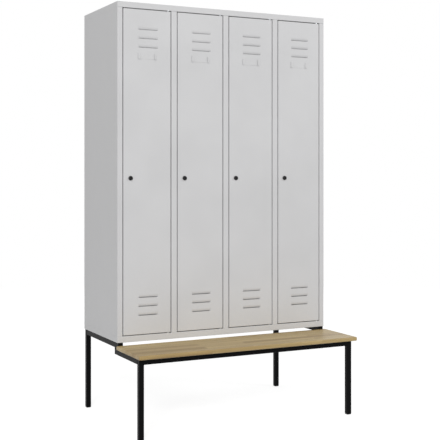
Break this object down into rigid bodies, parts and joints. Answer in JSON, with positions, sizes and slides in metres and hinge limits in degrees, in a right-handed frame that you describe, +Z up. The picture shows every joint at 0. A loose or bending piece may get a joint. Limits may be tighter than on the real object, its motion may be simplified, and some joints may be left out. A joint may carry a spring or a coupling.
{
  "type": "clothes locker with bench",
  "caption": "Sheet-steel clothes locker with narrow louvred doors, on a black tube frame that carries a wooden bench in front of it.",
  "frame": {"origin": "on the floor under the middle of the whole piece, bench included", "axes": "+X to the right as seen from the front, +Y from the bench towards the back, +Z up; the doors face -Y"},
  "size_m": [1.206, 0.807, 2.09],
  "materials": {
    "grey_paint": "light grey powder coat, fine texture, satin",
    "black_tube": "black powder coat, satin",
    "black_plastic": "black moulded plastic",
    "bench_wood": "clear satin lacquer on glued beech staves",
    "zinc": "bright zinc plate"
  },
  "bodies": {
    "frame_and_carcass": {"side_frame_left": "black_tube", "side_frame_right": "black_tube", "bench_rail_front": "black_tube", "bench_rail_rear": "black_tube", "locker_rail_rear": "black_tube", "foot_cap_front_left": "black_plastic", "foot_cap_front_right": "black_plastic", "foot_cap_rear_left": "black_plastic", "foot_cap_rear_right": "black_plastic", "bench_board": "bench_wood", "seat_screw_1": "zinc", "seat_screw_2": "zinc", "seat_screw_3": "zinc", "seat_screw_4": "zinc", "locker_bolt_left": "zinc", "locker_bolt_right": "zinc", "side_panel_left": "grey_paint", "side_panel_right": "grey_paint", "back_panel": "grey_paint", "top_panel": "grey_paint", "bottom_panel": "grey_paint", "door_post_1": "grey_paint", "door_post_2": "grey_paint", "door_post_3": "grey_paint", "divider_1": "grey_paint", "divider_2": "grey_paint", "divider_3": "grey_paint", "hat_shelf_1": "grey_paint", "hat_shelf_2": "grey_paint", "hat_shelf_3": "grey_paint", "hat_shelf_4": "grey_paint", "coat_rail_1": "zinc", "coat_rail_2": "zinc", "coat_rail_3": "zinc", "coat_rail_4": "zinc"},
    "leaf_1": {"door_1": "grey_paint", "door_stiffener_1": "grey_paint", "label_holder_1": "grey_paint", "lock_housing_1": "black_plastic"},
    "latch_1": {"lock_cylinder_1": "black_plastic", "lock_cam_1": "zinc"},
    "leaf_2": {"door_2": "grey_paint", "door_stiffener_2": "grey_paint", "label_holder_2": "grey_paint", "lock_housing_2": "black_plastic"},
    "latch_2": {"lock_cylinder_2": "black_plastic", "lock_cam_2": "zinc"},
    "leaf_3": {"door_3": "grey_paint", "door_stiffener_3": "grey_paint", "label_holder_3": "grey_paint", "lock_housing_3": "black_plastic"},
    "latch_3": {"lock_cylinder_3": "black_plastic", "lock_cam_3": "zinc"},
    "leaf_4": {"door_4": "grey_paint", "door_stiffener_4": "grey_paint", "label_holder_4": "grey_paint", "lock_housing_4": "black_plastic"},
    "latch_4": {"lock_cylinder_4": "black_plastic", "lock_cam_4": "zinc"}
  },
  "joints": [
    {"name": "door_hinge_1", "type": "hinge", "parent": "frame_and_carcass", "child": "leaf_1", "pos_m": [-0.3235, -0.0895, 0.4525], "axis": [0, 0, 1], "range_deg": [0, 120]},
    {"name": "door_hinge_2", "type": "hinge", "parent": "frame_and_carcass", "child": "leaf_2", "pos_m": [-0.032, -0.0895, 0.4525], "axis": [0, 0, 1], "range_deg": [0, 120]},
    {"name": "door_hinge_3", "type": "hinge", "parent": "frame_and_carcass", "child": "leaf_3", "pos_m": [0.2595, -0.0895, 0.4525], "axis": [0, 0, 1], "range_deg": [0, 120]},
    {"name": "door_hinge_4", "type": "hinge", "parent": "frame_and_carcass", "child": "leaf_4", "pos_m": [0.551, -0.0895, 0.4525], "axis": [0, 0, 1], "range_deg": [0, 120]},
    {"name": "lock_turn_1", "type": "hinge", "parent": "leaf_1", "child": "latch_1", "pos_m": [-0.5265, -0.0975, 1.2235], "axis": [0, 1, 0], "range_deg": [0, 90]},
    {"name": "lock_turn_2", "type": "hinge", "parent": "leaf_2", "child": "latch_2", "pos_m": [-0.235, -0.0975, 1.2235], "axis": [0, 1, 0], "range_deg": [0, 90]},
    {"name": "lock_turn_3", "type": "hinge", "parent": "leaf_3", "child": "latch_3", "pos_m": [0.0565, -0.0975, 1.2235], "axis": [0, 1, 0], "range_deg": [0, 90]},
    {"name": "lock_turn_4", "type": "hinge", "parent": "leaf_4", "child": "latch_4", "pos_m": [0.348, -0.0975, 1.2235], "axis": [0, 1, 0], "range_deg": [0, 90]}
  ]
}
